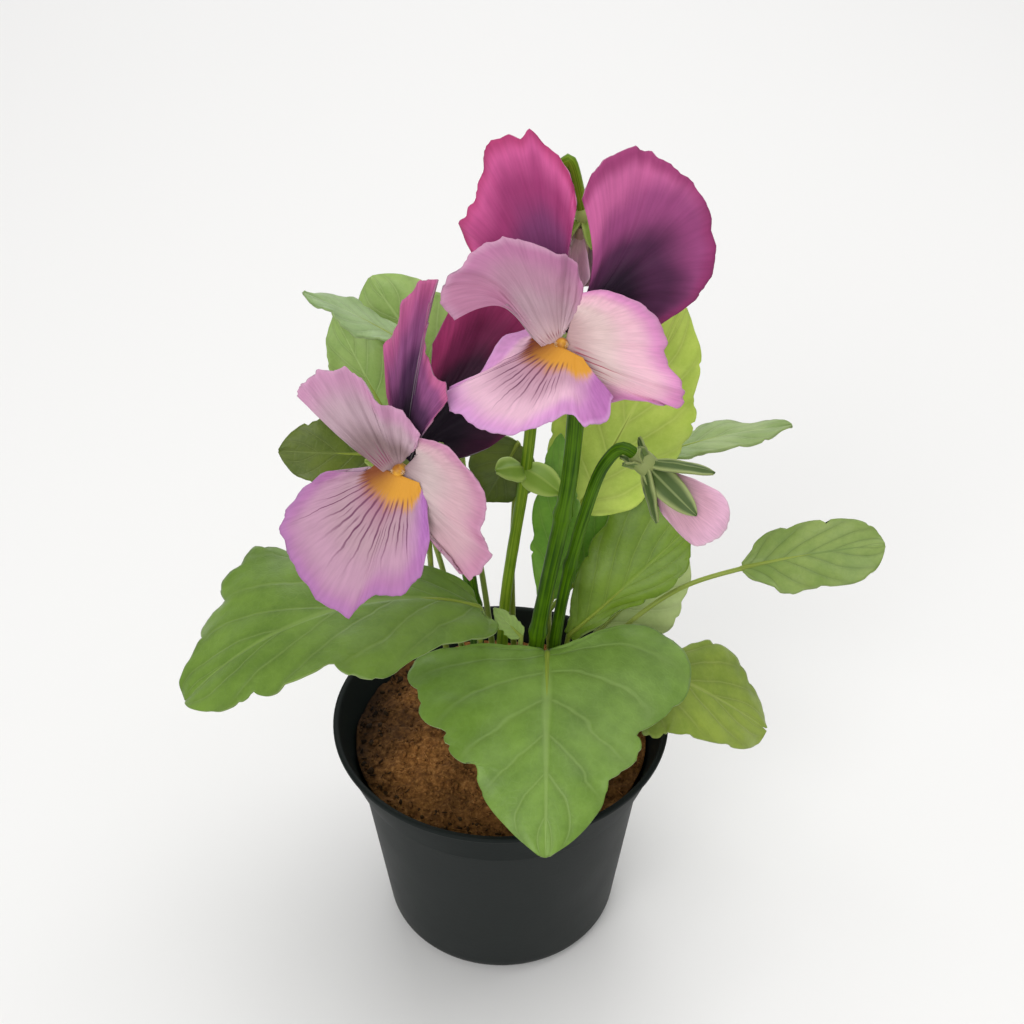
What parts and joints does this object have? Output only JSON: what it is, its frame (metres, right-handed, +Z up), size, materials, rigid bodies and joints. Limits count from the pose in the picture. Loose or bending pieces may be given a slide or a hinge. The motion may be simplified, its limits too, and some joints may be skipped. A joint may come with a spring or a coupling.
{
  "type": "potted pansy plant",
  "caption": "Young pansy plant with open blooms, drooping buds and broad toothed leaves, standing in a round tapered nursery pot filled with soil.",
  "frame": {"origin": "centre of the pot's flat underside", "axes": "+Z up, along the pot's axis; +X to the right seen from the front; the blooms face -Y, the front"},
  "size_m": [0.1768, 0.1018, 0.2345],
  "materials": {
    "pot": "satin black plastic",
    "soil": "matt granular brown potting soil of peat and coir",
    "leaf": "soft green leaf with pale veins and a light sheen",
    "stem": "glossy fresh green stem",
    "petal_purple": "velvety, magenta at the edge and near black at the root",
    "petal_mauve": "velvety, pink mauve with a greyer middle",
    "petal_lilac": "velvety, lilac pink with dark fine veins and a yellow eye",
    "throat_yellow": "soft yellow orange",
    "bud_pink": "velvety pale pink"
  },
  "bodies": {
    "root": {"leaf_front": "leaf", "leaf_left": "leaf", "leaf_right_low": "leaf", "leaf_right_far": "leaf", "leaf_right_back": "leaf", "leaf_right_pale": "leaf", "leaf_back_tall": "leaf", "leaf_narrow": "leaf", "leaf_bright_back": "leaf", "leaf_behind_stems": "leaf", "leaf_upper_left": "leaf", "leaf_folded": "leaf", "leaf_hanging": "leaf", "leaf_left_small": "leaf", "leaf_under_bloom": "leaf", "leaf_small": "leaf", "bloom_1_upper_left_petal": "petal_purple", "bloom_1_upper_right_petal": "petal_purple", "bloom_1_left_side_petal": "petal_mauve", "bloom_1_right_side_petal": "petal_mauve", "bloom_1_lower_petal": "petal_lilac", "bloom_1_throat": "throat_yellow", "bloom_1_stem": "stem", "bloom_2_upper_left_petal": "petal_purple", "bloom_2_upper_right_petal": "petal_purple", "bloom_2_left_side_petal": "petal_mauve", "bloom_2_right_side_petal": "petal_mauve", "bloom_2_lower_petal": "petal_lilac", "bloom_2_throat": "throat_yellow", "bloom_2_stem": "stem", "bud_1_petals": "bud_pink", "bud_1_stem": "stem", "bud_2_petals": "bud_pink", "bud_2_stem": "stem", "pot": "pot", "soil": "soil"}
  },
  "joints": []
}
